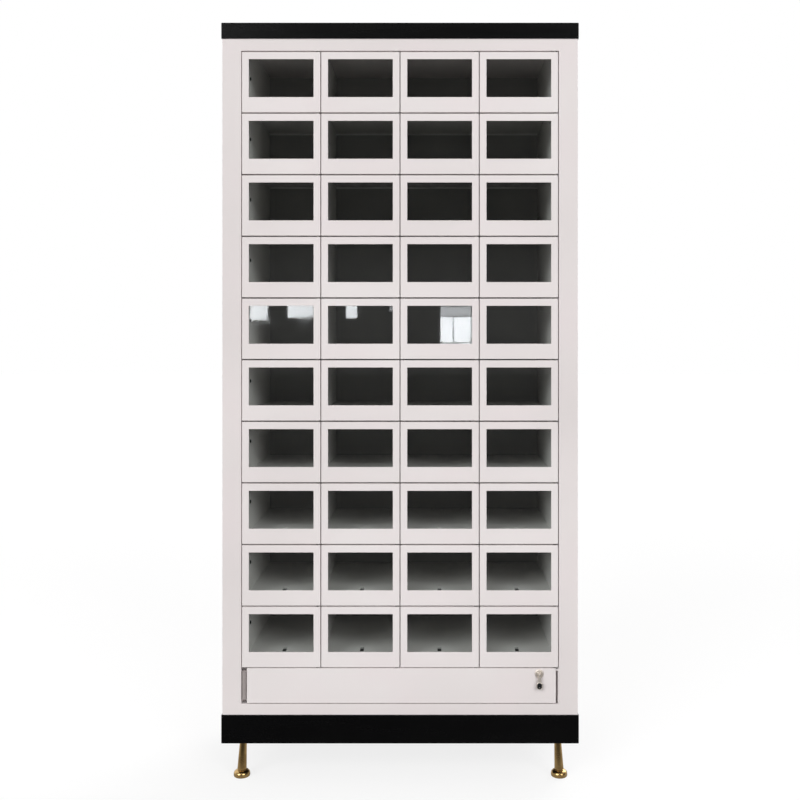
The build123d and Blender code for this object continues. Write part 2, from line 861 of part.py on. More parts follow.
# The key's shank and head fold about a small cross pin and hang down.
key_ring_plane = Plane.YZ.offset(lock_x - key_shank_width / 2)
key_pivot_place = (frame_y + key_pivot_depth, lock_z)
with BuildPart() as key_head:
    panel(
        key_head_width,
        key_head_bottom - key_head_top,
        (lock_x, lock_z - (key_head_top + key_head_bottom) / 2),
        (key_front, key_front + key_head_thickness),
        rounding=key_head_round,
    )
    block(
        (lock_x - key_shank_width / 2, lock_x + key_shank_width / 2),
        (key_pivot_depth - key_ring_radius, key_pivot_depth + key_ring_radius),
        (lock_z - key_head_top - key_head_round, lock_z),
    )
    with BuildSketch(key_ring_plane):
        with Locations(key_pivot_place):
            Circle(key_ring_radius)
    extrude(amount=key_shank_width)
    with BuildSketch(key_ring_plane):
        with Locations(key_pivot_place):
            Circle(key_pin_diameter / 2 + key_pin_fit)
    extrude(amount=key_shank_width, mode=Mode.SUBTRACT)
    spindle(
        lock_x,
        lock_z - key_head_bottom + key_hole_inset,
        (key_front, key_front + key_head_thickness),
        key_hole_diameter / 2,
        Mode.SUBTRACT,
    )
save(key_head.part, "key_head")

# Control gear in the service bay: controller and power supply on the base, power inlet in the rear panel.
with BuildPart() as control_unit:
    for size, centre in ((controller_size, controller_centre), (supply_size, supply_centre)):
        width, length, height = size
        with BuildSketch(Plane.XY.offset(base_top)):
            with Locations((centre[0], frame_y + centre[1])):
                RectangleRounded(width, length, housing_round)
        extrude(amount=height)
    panel(
        inlet_width,
        inlet_height + 2 * inlet_flange_sheet,
        inlet_place,
        (rear_panel_back, rear_panel_back + inlet_flange_sheet),
    )
    panel(
        inlet_body_width,
        inlet_height,
        inlet_place,
        (rear_panel_back - inlet_body_depth, rear_panel_back),
    )
    panel(
        inlet_body_width - 2 * inlet_flange_sheet,
        inlet_height - 2 * inlet_flange_sheet,
        inlet_place,
        (rear_panel_back - inlet_cavity, rear_panel_back + inlet_flange_sheet),
        Mode.SUBTRACT,
    )
save(control_unit.part, "control_unit")
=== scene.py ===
"""Looks of the parcel locker: finishes, dressed pieces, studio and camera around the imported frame."""
import math
import bmesh
import bpy
from mathutils import Matrix, Vector


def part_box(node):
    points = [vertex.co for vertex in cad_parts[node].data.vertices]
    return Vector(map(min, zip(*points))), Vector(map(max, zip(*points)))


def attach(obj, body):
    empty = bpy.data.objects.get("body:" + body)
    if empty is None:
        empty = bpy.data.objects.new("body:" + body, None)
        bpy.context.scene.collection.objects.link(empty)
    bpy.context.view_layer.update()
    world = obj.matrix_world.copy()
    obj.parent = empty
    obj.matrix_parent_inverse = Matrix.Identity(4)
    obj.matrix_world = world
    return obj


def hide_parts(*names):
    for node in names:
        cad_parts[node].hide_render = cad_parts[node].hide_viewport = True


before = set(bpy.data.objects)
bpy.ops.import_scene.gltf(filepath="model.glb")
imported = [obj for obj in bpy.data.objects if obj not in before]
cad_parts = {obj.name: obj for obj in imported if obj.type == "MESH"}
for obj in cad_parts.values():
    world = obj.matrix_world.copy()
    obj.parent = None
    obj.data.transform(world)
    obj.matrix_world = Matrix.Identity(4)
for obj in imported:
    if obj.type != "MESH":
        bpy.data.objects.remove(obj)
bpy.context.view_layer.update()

# Shapes are made in millimetres, in the frame of the CAD, and become metres when they are finished.
MILLIMETRE = 0.001

# Directions in which a ring or a turned part can lie: its own Z runs back, up or to the right.
FACING = Matrix.Rotation(-math.pi / 2, 4, "X")
UPWARD = Matrix.Identity(4)
ACROSS = Matrix.Rotation(math.pi / 2, 4, "Y")


def node_limits(node):
    """Lowest and highest corners of a CAD node, in millimetres."""
    return [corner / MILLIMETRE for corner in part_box(node)]


FRAME_FRONT = node_limits("face_frame")[0].y
ROWS = 10
COLUMNS = 4


def at(x, depth, z):
    """A point at a depth behind the front of the face frame."""
    return Vector((x, FRAME_FRONT + depth, z))


# Sheet metal and doors. Fronts, backs and depths are behind the front of the face frame.
SHEET = 1.2
INNER_SHEET = 1.0
FOLD = 0.8
SEAM = 0.2
PARTITION = 8.0
DOOR_FRONT = -2.0
DOOR_BACK = 16.0
WINDOW_SIDE = 17.2
WINDOW_TOP = 18.1
WINDOW_BOTTOM = 38.5
GLASS_LAP = 8.0
PAN_MARGIN = 6.0
GLASS_FRONT = -0.6
GLASS_BACK = 3.4
LATCH_HEIGHT = 12.25
STOP_DEPTH = 20.0
LINER_BACK = 373.0
SENSOR_DEPTH = 52.0
SENSOR_ABOVE_CENTRE = 22.2


# Shapes

SHARP_FROM = math.radians(40)


class Shape:
    """A mesh under construction. Faces made since the last coat get the next one."""

    def __init__(self):
        self.bm = bmesh.new()
        self.coated = set()

    def ring(self, centre, size, radius, lie=FACING, corner=3):
        """Edges of a rectangle with rounded corners, or of a circle if the radius is half its size."""
        half_step = math.pi / (4 * corner)
        verts = bmesh.ops.create_circle(
            self.bm,
            segments=4 * corner,
            radius=radius / math.cos(half_step),
            matrix=Matrix.Rotation(half_step, 4, "Z"),
        )["verts"]
        for side_x in (-1, 1):
            for side_y in (-1, 1):
                quarter = [v for v in verts if v.co.x * side_x > 0 and v.co.y * side_y > 0]
                shift = (side_x * (size[0] / 2 - radius), side_y * (size[1] / 2 - radius), 0)
                bmesh.ops.translate(self.bm, vec=shift, verts=quarter)
        bmesh.ops.transform(self.bm, matrix=Matrix.Translation(centre) @ lie, verts=verts)
        return list(dict.fromkeys(edge for vert in verts for edge in vert.link_edges))

    def outline(self, limits, grow, depth, radius):
        """An upright ring around limits (left, right, bottom, top), larger by grow on every side."""
        left, right, bottom, top = limits
        centre = at((left + right) / 2, depth, (bottom + top) / 2)
        return self.ring(centre, (right - left + 2 * grow, top - bottom + 2 * grow), radius)

    def hexagon(self, centre, radius, lie=FACING):
        """Edges of a hexagon."""
        matrix = Matrix.Translation(centre) @ lie
        verts = bmesh.ops.create_circle(self.bm, segments=6, radius=radius, matrix=matrix)["verts"]
        return list(dict.fromkeys(edge for vert in verts for edge in vert.link_edges))

    def join(self, loops, closed=False):
        """Walls from each loop of edges to the next, and round to the first, or with both ends shut."""
        pairs = list(zip(loops, loops[1:]))
        if closed:
            pairs.append((loops[-1], loops[0]))
        for first, second in pairs:
            bmesh.ops.bridge_loops(self.bm, edges=first + second)
        if not closed:
            for loop in (loops[0], loops[-1]):
                bmesh.ops.contextual_create(self.bm, geom=loop)

    def bar(self, low, high, edge):
        """A plate or bar between two corners, all its edges rounded."""
        centre = (Vector(low) + Vector(high)) / 2
        size = Vector(high) - Vector(low)
        matrix = Matrix.LocRotScale(centre, None, size)
        verts = bmesh.ops.create_cube(self.bm, size=1, matrix=matrix)["verts"]
        edges = list(dict.fromkeys(each for vert in verts for each in vert.link_edges))
        bmesh.ops.bevel(
            self.bm, geom=edges, offset=edge, offset_type="OFFSET", segments=2,
            profile=0.5, affect="EDGES", material=-1, clamp_overlap=True,
        )

    def turned(self, profile, centre, lie=FACING, steps=24):
        """A turned part: an outline of (radius, distance along its axis) pairs, spun about that axis."""
        known = set(self.bm.verts)
        verts = [self.bm.verts.new((radius, 0, along)) for radius, along in profile]
        edges = [self.bm.edges.new(pair) for pair in zip(verts, verts[1:])]
        bmesh.ops.spin(
            self.bm, geom=verts + edges, cent=(0, 0, 0), axis=(0, 0, 1), dvec=(0, 0, 0),
            angle=2 * math.pi, steps=steps, use_merge=True, use_duplicate=False,
        )
        made = [vert for vert in self.bm.verts if vert not in known]
        bmesh.ops.remove_doubles(self.bm, verts=made, dist=1e-5)
        made = [vert for vert in self.bm.verts if vert not in known]
        bmesh.ops.transform(self.bm, matrix=Matrix.Translation(centre) @ lie, verts=made)

    def coat(self, index):
        """Give the faces made since the last coat the finish with this index."""
        for face in self.bm.faces:
            if face not in self.coated:
                face.material_index = index
        self.coated = set(self.bm.faces)

    def mesh(self, name, finishes):
        """The finished mesh, in metres."""
        bmesh.ops.recalc_face_normals(self.bm, faces=self.bm.faces)
        bmesh.ops.scale(self.bm, vec=[MILLIMETRE] * 3, verts=self.bm.verts)
        mesh = bpy.data.meshes.new(name)
        self.bm.to_mesh(mesh)
        self.bm.free()
        for finish in finishes:
            mesh.materials.append(finish)
        mesh.shade_smooth()
        mesh.set_sharp_from_angle(angle=SHARP_FROM)
        return mesh


def show(mesh, name, body, replaced=()):
    """Put a finished mesh in the scene as a piece that rides on a body."""
    piece = bpy.data.objects.new(name, mesh)
    bpy.context.scene.collection.objects.link(piece)
    piece.modifiers.new("even_faces", "WEIGHTED_NORMAL").keep_sharp = True
    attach(piece, body)
    if replaced:
        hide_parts(*replaced)
    return piece


# Finishes


def paint(red, green, blue):
    """A colour on a screen's scale of 0 to 255, as the renderer counts it."""
    def linear(value):
        value /= 255
        return value / 12.92 if value <= 0.04045 else ((value + 0.055) / 1.055) ** 2.4
    return (linear(red), linear(green), linear(blue), 1.0)


class Signal:
    """A shader socket that can be used in sums. Each operation adds its Math node."""

    def __init__(self, nodes, socket):
        self.nodes = nodes
        self.socket = socket

    def combine(self, operation, first, second):
        return self.nodes.add("ShaderNodeMath", {"operation": operation}, {0: first, 1: second})

    def __add__(self, other):
        return self.combine("ADD", self, other)

    __radd__ = __add__

    def __sub__(self, other):
        return self.combine("SUBTRACT", self, other)

    def __rsub__(self, other):
        return self.combine("SUBTRACT", other, self)

    def __mul__(self, other):
        return self.combine("MULTIPLY", self, other)

    __rmul__ = __mul__

    def __pow__(self, other):
        return self.combine("POWER", self, other)


class Nodes:
    """The nodes of one material, or of the world."""

    def __init__(self, owner):
        owner.use_nodes = True
        self.owner = owner
        self.tree = owner.node_tree
        self.tree.nodes.clear()

    def add(self, kind, settings=None, sockets=None, output=0):
        """Add a node, make its settings, then give its sockets values or links."""
        node = self.tree.nodes.new(kind)
        for name, value in (settings or {}).items():
            if name == "stops":
                for stop, (position, colour) in zip(node.color_ramp.elements, value):
                    stop.position = position
                    stop.color = colour
            else:
                setattr(node, name, value)
        for key, value in (sockets or {}).items():
            if isinstance(value, Signal):
                self.tree.links.new(value.socket, node.inputs[key])
            else:
                node.inputs[key].default_value = value
        return Signal(self, node.outputs[output]) if node.outputs else None

    def place(self, scale=(1, 1, 1)):
        """Where a point is on its piece, stretched by a scale."""
        where = self.add("ShaderNodeTexCoord", output="Object")
        return self.add("ShaderNodeMapping", {}, {"Vector": where, "Scale": scale})

    def noise(self, size, detail=2.0, stretch=(1, 1, 1)):
        """Soft noise whose spots are about this many millimetres across."""
        sockets = {"Vector": self.place(stretch), "Scale": 1000 / size, "Detail": detail}
        return self.add("ShaderNodeTexNoise", {}, sockets)

    def depth(self):
        """How far a point is behind the front of the face frame, in millimetres."""
        where = self.add("ShaderNodeTexCoord", output="Object")
        return self.add("ShaderNodeSeparateXYZ", {}, {0: where}, "Y") * 1000 - FRAME_FRONT

    def steps(self, value, low, high):
        """A value's change from low to high, as 0 to 1."""
        sockets = {"Value": value, "From Min": low, "From Max": high}
        return self.add("ShaderNodeMapRange", {"clamp": True}, sockets)

    def mix(self, amount, first, second):
        """A colour between two others."""
        return self.add("ShaderNodeMix", {"data_type": "RGBA"}, {0: amount, 6: first, 7: second}, 2)

    def relief(self, height, strength, distance):
        """A bumpy surface from a height, over a distance in millimetres."""
        sockets = {"Height": height, "Strength": strength, "Distance": distance * MILLIMETRE}
        return self.add("ShaderNodeBump", {}, sockets)

    def rays(self):
        """Whether a ray comes from the camera, from a reflection, or through clear matter."""
        names = ("Is Camera Ray", "Is Glossy Ray", "Is Transmission Ray")
        return [self.add("ShaderNodeLightPath", output=name) for name in names]

    def surface(self, shader):
        self.add("ShaderNodeOutputMaterial", {}, {"Surface": shader})
        return self.owner

    def solid(self, **sockets):
        """End in an opaque surface. A socket's name has its words joined by an underscore."""
        named = {key.replace("_", " "): value for key, value in sockets.items()}
        return self.surface(self.add("ShaderNodeBsdfPrincipled", {}, named))


def finish_named(name):
    return Nodes(bpy.data.materials.new(name))


def powder_coat(name, light, shade, blush, roughness):
    """Satin powder coat: a fine orange peel, slow waves in the sheet and soft clouds of tone."""
    nodes = finish_named(name)
    clouds = nodes.steps(nodes.noise(420, 1.5), 0.36, 0.64)
    patches = nodes.steps(nodes.noise(150, 2.0), 0.42, 0.7)
    tone = nodes.mix(patches * 0.4, nodes.mix(clouds, light, shade), blush)
    peel = nodes.noise(1.6, 1.0)
    waves = nodes.noise(130, 1.0)
    specks = nodes.steps(nodes.noise(3.0, 3.0), 0.7, 0.76)
    return nodes.solid(
        Base_Color=nodes.mix(specks * 0.12, tone, shade),
        Roughness=roughness + 0.1 * nodes.noise(60, 3.0) + 0.06 * peel,
        Normal=nodes.relief(0.12 * peel + waves, 0.35, 0.5),
        Specular_IOR_Level=0.45,
    )


def lining_coat_with_painted_shade(name):
    """The coat of the compartments' lining, with painted shade: the sheet at their back gets a darker
    grey that stands in for the shade falling deep inside.
    """
    nodes = finish_named(name)
    clouds = nodes.steps(nodes.noise(150, 2.0), 0.36, 0.7)
    walls = nodes.mix(clouds, paint(226, 223, 221), paint(216, 214, 211))
    # Painted shade: the back sheet's darker grey stands in for the shade deep in each compartment, as it
    # has the walls' paint.
    back = nodes.mix(clouds, paint(160, 157, 155), paint(149, 147, 145))
    painted_shade_at_back = nodes.steps(nodes.depth(), LINER_BACK - 0.3, LINER_BACK - 0.1)
    peel = nodes.noise(1.6, 1.0)
    return nodes.solid(
        Base_Color=nodes.mix(painted_shade_at_back, walls, back),
        Roughness=0.45 + 0.1 * nodes.noise(60, 3.0),
        Normal=nodes.relief(0.12 * peel + nodes.noise(130, 1.0), 0.35, 0.5),
        Specular_IOR_Level=0.45,
    )


def black_coat(name):
    """Black stoved enamel, half gloss, with faint wipe marks."""
    nodes = finish_named(name)
    wipes = nodes.noise(90, 4.0, (0.35, 1, 2.2))
    peel = nodes.noise(1.8, 1.0)
    return nodes.solid(
        Base_Color=nodes.mix(nodes.noise(260, 2.0), paint(3, 3, 4), paint(9, 9, 9)),
        Roughness=0.16 + 0.16 * wipes + 0.04 * peel,
        Normal=nodes.relief(0.2 * peel + nodes.noise(110, 1.0), 0.25, 0.4),
        Specular_IOR_Level=0.2,
    )


def turned_brass(name):
    """Brass turned on a lathe: fine rings, a darker tarnish in places."""
    nodes = finish_named(name)
    rings = nodes.noise(1.0, 2.0, (0.04, 0.04, 1))
    tarnish = nodes.steps(nodes.noise(24, 3.0), 0.45, 0.75)
    return nodes.solid(
        Base_Color=nodes.mix(tarnish * 0.6, paint(178, 148, 98), paint(112, 84, 52)),
        Metallic=1.0,
        Roughness=0.12 + 0.12 * rings + 0.12 * tarnish,
        Normal=nodes.relief(rings, 0.25, 0.05),
    )


def bright_metal(name, light, dark, roughness, grain):
    """Plated metal with a fine grain and faint clouding."""
    nodes = finish_named(name)
    scratches = nodes.noise(grain, 3.0, (0.15, 1, 1))
    clouding = nodes.noise(14, 3.0)
    return nodes.solid(
        Base_Color=nodes.mix(clouding, light, dark),
        Metallic=1.0,
        Roughness=roughness + 0.12 * clouding + 0.08 * scratches,
        Normal=nodes.relief(scratches, 0.12, 0.03),
    )


def moulded_plastic(name, light, dark, roughness, grain):
    """Moulded plastic or rubber with a fine matt grain."""
    nodes = finish_named(name)
    texture = nodes.noise(grain, 2.0)
    return nodes.solid(
        Base_Color=nodes.mix(nodes.noise(35, 3.0), light, dark),
        Roughness=roughness + 0.15 * texture,
        Normal=nodes.relief(texture, 0.3, 0.08),
    )


def clear_glass(name):
    """Flat glass: it shows what is behind it, and reflects more at a glancing angle."""
    nodes = finish_named(name)
    facing = nodes.add("ShaderNodeLayerWeight", {}, {"Blend": 0.5}, "Facing")
    smears = nodes.steps(nodes.noise(70, 3.0), 0.55, 0.8)
    see_through = nodes.add("ShaderNodeBsdfTransparent", {}, {"Color": (0.94, 0.955, 0.95, 1)})
    gloss = nodes.add(
        "ShaderNodeBsdfAnisotropic", {}, {"Color": (1, 1, 1, 1), "Roughness": 0.02 + 0.05 * smears}
    )
    head_on, glancing = 0.035, 0.9
    reflected = head_on + glancing * facing ** 5
    return nodes.surface(nodes.add("ShaderNodeMixShader", {}, {0: reflected, 1: see_through, 2: gloss}))


body_paint = powder_coat(
    "body_paint", paint(231, 224, 223), paint(224, 217, 216), paint(230, 219, 220), 0.36
)
door_paint = powder_coat(
    "door_paint", paint(235, 229, 228), paint(228, 221, 220), paint(234, 223, 224), 0.34
)
interior_paint = lining_coat_with_painted_shade("interior_paint")
black_paint = black_coat("black_paint")
brass = turned_brass("turned_brass")
chrome = bright_metal("chrome_plate", paint(232, 230, 226), paint(204, 202, 199), 0.08, 0.6)
nickel = bright_metal("satin_nickel", paint(248, 240, 231), paint(222, 213, 203), 0.43, 0.7)
steel = bright_metal("zinc_plate", paint(172, 168, 162), paint(138, 134, 130), 0.3, 0.8)
hinge_paint = moulded_plastic(
    "grey_hinge_paint", paint(164, 155, 153), paint(150, 142, 140), 0.4, 1.6
)
black_plastic = moulded_plastic("black_plastic", paint(12, 12, 13), paint(20, 20, 21), 0.36, 0.7)
rubber = moulded_plastic("black_rubber", paint(26, 26, 26), paint(36, 35, 34), 0.7, 0.9)
housing_plastic = moulded_plastic(
    "grey_housing", paint(150, 153, 155), paint(138, 141, 143), 0.42, 0.9
)
glass = clear_glass("door_glass")


# CAD nodes that stay, with their finishes

STAYING = {
    body_paint: ("outer_shell", "rear_panel"),
    interior_paint: ("liner_panels", "partitions", "shelves"),
    black_plastic: ("electric_locks",),
    steel: ("hinge_brackets",),
}
for finish, nodes_in_it in STAYING.items():
    for name in nodes_in_it:
        for material_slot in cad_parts[name].material_slots:
            material_slot.material = finish


# Doors

# Width, height and thickness of the striker's foot, then thickness, height and reach of its tongue.
STRIKER_FOOT = (20.0, 15.0, 2.0)
STRIKER_TONGUE = (2.5, 10.0, 20.0)
TONGUE_CORNER = 2.0
TONGUE_EDGE = 0.4
BOLT_HOLE = 5.0
BOLT_HOLE_REACH = 15.0
RIVET_SPACING = 13.0
BUMPER_SPACING = 120.0
BUMPER_PROFILE = [(0, 19.7), (2.2, 19.6), (3.4, 19.1), (4, 18.2), (4, 16.6), (3.7, 16.2), (0, 16.2)]


def folded_edge(limits, front):
    """Rings of the rounded fold between a panel's sides and its front."""
    part_way = 0.3 * FOLD
    return [
        (limits, 0, front + FOLD, 1.0),
        (limits, -part_way, front + part_way, 0.9),
        (limits, -FOLD, front, 0.6),
    ]


def striker(shape):
    """A door's striker: a riveted foot, and a tongue with a hole for the lock's bolt."""
    foot_width, foot_height, foot_sheet = STRIKER_FOOT
    thickness, tongue_height, reach = STRIKER_TONGUE
    foot_back = DOOR_BACK + foot_sheet
    shape.bar(
        at(-foot_width / 2, DOOR_BACK + SEAM, LATCH_HEIGHT - foot_height / 2),
        at(foot_width / 2, foot_back, LATCH_HEIGHT + foot_height / 2),
        edge=0.5,
    )

    def hole(x):
        """The edge of the hole, at a distance to the right of the tongue's middle."""
        centre = at(x, foot_back + BOLT_HOLE_REACH, LATCH_HEIGHT)
        return shape.ring(centre, (BOLT_HOLE, BOLT_HOLE), BOLT_HOLE / 2, ACROSS)

    def tongue(x, inset):
        """The tongue's outline at such a distance, drawn in by an inset."""
        centre = at(x, foot_back + reach / 2, LATCH_HEIGHT)
        size = (tongue_height - 2 * inset, reach - 2 * inset)
        return shape.ring(centre, size, TONGUE_CORNER - inset, ACROSS)

    face = thickness / 2
    rim = face - TONGUE_EDGE
    rings = [tongue(-face, TONGUE_EDGE), hole(-face), hole(face), tongue(face, TONGUE_EDGE)]
    shape.join(rings + [tongue(rim, 0), tongue(-rim, 0)], closed=True)

    rivet = [(0, 1.1), (1.2, 0.95), (2.0, 0.4), (2.1, -0.2)]
    for side in (-1, 1):
        shape.turned(rivet, at(side * RIVET_SPACING / 2, foot_back, LATCH_HEIGHT), steps=12)


def door_leaf(width, height):
    """A glazed door's painted leaf and inner pan, its striker and its two bumpers."""
    door = (-width / 2, width / 2, 0, height)
    window = (-width / 2 + WINDOW_SIDE, width / 2 - WINDOW_SIDE, WINDOW_BOTTOM, height - WINDOW_TOP)
    shape = Shape()
    skin = [(door, 0, DOOR_BACK, 1.0)] + folded_edge(door, DOOR_FRONT)
    skin += [(window, 0.4, DOOR_FRONT, 0.8), (window, 0.12, DOOR_FRONT + 0.12, 0.6)]
    skin += [(window, 0, DOOR_FRONT + 0.4, 0.5), (window, 0, DOOR_FRONT + SHEET, 0.5)]
    skin += [(door, -SHEET, DOOR_FRONT + SHEET, 0.4), (door, -SHEET, DOOR_BACK, 0.4)]
    shape.join([shape.outline(*each) for each in skin], closed=True)

    pan_front = DOOR_BACK - INNER_SHEET
    pan = [(-SHEET - SEAM, DOOR_BACK, 0.4), (-SHEET - SEAM, pan_front, 0.4)]
    lip = [(INNER_SHEET, pan_front, 1.0), (INNER_SHEET, GLASS_BACK, 1.0), (0, GLASS_BACK, 0.5)]
    lip += [(0, DOOR_BACK - 0.5, 0.5), (0.15, DOOR_BACK - 0.15, 0.6), (0.5, DOOR_BACK, 0.9)]
    groove = [(3.0, DOOR_BACK, 3.0), (3.5, DOOR_BACK - 0.5, 3.4)]
    groove += [(5.1, DOOR_BACK - 0.5, 4.6), (5.6, DOOR_BACK, 5.0)]
    pan_rings = [shape.outline(door, *each) for each in pan]
    pan_rings += [shape.outline(window, PAN_MARGIN + grown, *rest) for grown, *rest in lip + groove]
    shape.join(pan_rings, closed=True)
    shape.coat(0)

    striker(shape)
    shape.coat(1)

    for side in (-1, 1):
        shape.turned(BUMPER_PROFILE, at(side * BUMPER_SPACING / 2, 0, LATCH_HEIGHT), steps=16)
    shape.coat(2)
    return shape.mesh("door_leaf", [door_paint, steel, rubber])


def door_pane(width, height):
    """The pane of a glazed door, its edges ground."""
    shape = Shape()
    side = width / 2 - WINDOW_SIDE + GLASS_LAP
    shape.bar(
        at(-side, GLASS_FRONT, WINDOW_BOTTOM - GLASS_LAP),
        at(side, GLASS_BACK, height - WINDOW_TOP + GLASS_LAP),
        edge=0.5,
    )
    return shape.mesh("door_pane", [glass])


first_low, first_high = node_limits("door_r01_c1")
door_size = (first_high.x - first_low.x, first_high.z - first_low.z)
leaf_mesh = door_leaf(*door_size)
pane_mesh = door_pane(*door_size)
row_bottoms = []
column_centres = []
for row in range(1, ROWS + 1):
    for column in range(1, COLUMNS + 1):
        node = f"door_r{row:02d}_c{column}"
        low, high = node_limits(node)
        if column == 1:
            row_bottoms.append(low.z)
        if row == 1:
            column_centres.append((low.x + high.x) / 2)
        shift = Matrix.Translation(Vector(((low.x + high.x) / 2, 0, low.z)) * MILLIMETRE)
        for template, label, replaced in ((leaf_mesh, "leaf", (node,)), (pane_mesh, "pane", ())):
            mesh = template.copy()
            mesh.transform(shift)
            show(mesh, f"{node}_{label}", node, replaced)


# Face frame

# Limits are given as left, right, bottom and top.
BODY = (-450, 450, 172, 1884)
OPENING = (-402, 402, 200, 1853)
SERVICE = (-387.5, 394.3, 202.5, 290.5)
STOP_INNER = 390
STRIKE_LEFT = 399.3
STRIKE_TAB = (395.0, 400.3, 283.5, 288.0)


def face_frame():
    """Stiles and rails folded from one sheet, with a stop flange behind the doors at each side."""
    shape = Shape()
    rings = [(BODY, 0, SHEET, 1.0)] + folded_edge(BODY, 0)
    rings += [(OPENING, 1.0, 0, 1.2), (OPENING, 0.3, 0.3, 0.8), (OPENING, 0, 1.0, 0.6)]
    rings += [(OPENING, 0, STOP_DEPTH, 0.6), (OPENING, SHEET, STOP_DEPTH, 1.0)]
    rings += [(OPENING, SHEET, SHEET, 1.0)]
    shape.join([shape.outline(*each) for each in rings], closed=True)
    for side in (-1, 1):
        inner, outer = sorted((side * STOP_INNER, side * (OPENING[1] + SHEET)))
        shape.bar(at(inner, STOP_DEPTH, BODY[2]), at(outer, STOP_DEPTH + SHEET, BODY[3]), edge=0.3)
    shape.bar(at(STRIKE_LEFT, 0, OPENING[2] + SEAM), at(OPENING[1], SHEET, SERVICE[3]), edge=0.4)
    left, right, bottom, top = STRIKE_TAB
    shape.bar(at(left, 0, bottom), at(right, SHEET, top), edge=0.4)
    shape.coat(0)
    return shape.mesh("face_frame_folded", [body_paint])


show(face_frame(), "face_frame_folded", "cabinet", ("face_frame",))


# Cap and plinth

FOOTPRINT = (905.0, 400.0)
BODY_MIDDLE_DEPTH = 197.5
CAP_TOP = 1924
PLINTH_BOTTOM = 100
CAP_SHEET = 1.5
PLINTH_SHEET = 2.0
TRAY_FLANGE = 25


def lying_ring(shape, z, inset, radius):
    """A ring of the cap or the plinth at a height, its sides set in from the footprint."""
    size = [length - 2 * inset for length in FOOTPRINT]
    return shape.ring(at(0, BODY_MIDDLE_DEPTH, z), size, radius, UPWARD, 4)


def folded_box(name, closed_z, open_z, sheet):
    """A shallow tray, shut at one height and open inside a flange at the other."""
    inwards = 1 if open_z > closed_z else -1
    flange_z = open_z - inwards * sheet
    shape = Shape()
    rings = [(closed_z + inwards * sheet, sheet, 1.0), (flange_z, sheet, 1.0)]
    rings += [(flange_z, TRAY_FLANGE, 1.0), (open_z, TRAY_FLANGE, 1.0)]
    rings += [(open_z, 0.7, 1.6), (open_z - inwards * 0.7, 0, 2.2)]
    rings += [(closed_z + inwards * 2.0, 0, 2.2), (closed_z + inwards * 1.0, 0.27, 2.0)]
    rings += [(closed_z + inwards * 0.27, 1.0, 1.4), (closed_z, 2.0, 0.6)]
    shape.join([lying_ring(shape, *each) for each in rings])
    shape.coat(0)
    return shape.mesh(name, [black_paint])


cap_mesh = folded_box("cap_folded", CAP_TOP, BODY[3], CAP_SHEET)
show(cap_mesh, "cap_folded", "cabinet", ("top_cap",))
plinth_mesh = folded_box("plinth_folded", PLINTH_BOTTOM, BODY[2], PLINTH_SHEET)
show(plinth_mesh, "plinth_folded", "cabinet", ("plinth",))


# Legs and feet

FOOT_X = 408.0
FOOT_DEPTHS = (42.0, 353.0)
FOOT_HEIGHT = 16.0
LEG_LEAN = math.tan(math.radians(2.4))
LEG_PROFILE = [
    (0, 0), (12, 0), (12, 1.2), (11.6, 1.6), (10.8, 1.9), (10.8, 2.8), (11.6, 3.1), (11.9, 3.7),
    (11.7, 6), (10.7, 31), (9.6, 58), (8.7, 78.5), (8.6, 81), (8.6, 81.6), (8.6, 83.6), (8.4, 84),
    (0, 84),
]
FOOT_PROFILE = [
    (0, 0), (18, 0), (19.2, 0.25), (20.1, 0.9), (20.8, 1.9), (21, 3), (21, 5.2), (20.9, 7.5),
    (20.6, 9.4), (19.8, 11.3), (18.6, 13), (17, 14.3), (15.2, 15.2), (13.6, 15.7), (12.4, 15.9),
    (12.2, 16), (0, 16),
]


def legs_and_feet():
    """The legs, which lean outwards, and the round feet under them."""
    legs, feet = Shape(), Shape()
    for side_x in (-1, 1):
        for side_y, depth in zip((-1, 1), FOOT_DEPTHS):
            lean = Matrix.Shear("XY", 4, (-side_x * LEG_LEAN, -side_y * LEG_LEAN))
            legs.turned(LEG_PROFILE, at(side_x * FOOT_X, depth, FOOT_HEIGHT), lean, 32)
            feet.turned(FOOT_PROFILE, at(side_x * FOOT_X, depth, 0), UPWARD, 40)
    legs.coat(0)
    feet.coat(0)
    return legs.mesh("legs_turned", [brass]), feet.mesh("feet_turned", [brass])


legs_mesh, feet_mesh = legs_and_feet()
show(legs_mesh, "legs_turned", "cabinet", ("legs",))
show(feet_mesh, "feet_turned", "cabinet", ("feet",))


# Service door and its hinge

HINGE_X = -394.7
HINGE_DEPTH = 4.5
HINGE_SHEET = 1
HINGE_LEAF_REACH = 14
KNUCKLE_RADIUS = 5.8
KNUCKLE_HEIGHT = 24.0
KNUCKLE_GAP = 0.3
HINGE_PIN_OVERHANG = 1
HINGE_MIDDLE = (SERVICE[2] + SERVICE[3]) / 2
WEB_BACK = HINGE_DEPTH + KNUCKLE_RADIUS
PRESSED_IN = 13


def knuckle(shape, middle):
    """One rolled knuckle, its ends slightly rounded."""
    half = KNUCKLE_HEIGHT / 2
    edge = 0.4
    profile = [(0, -half), (KNUCKLE_RADIUS - edge, -half), (KNUCKLE_RADIUS, -half + edge)]
    profile += [(radius, -along) for radius, along in reversed(profile)]
    shape.turned(profile, at(HINGE_X, HINGE_DEPTH, middle), UPWARD, 20)


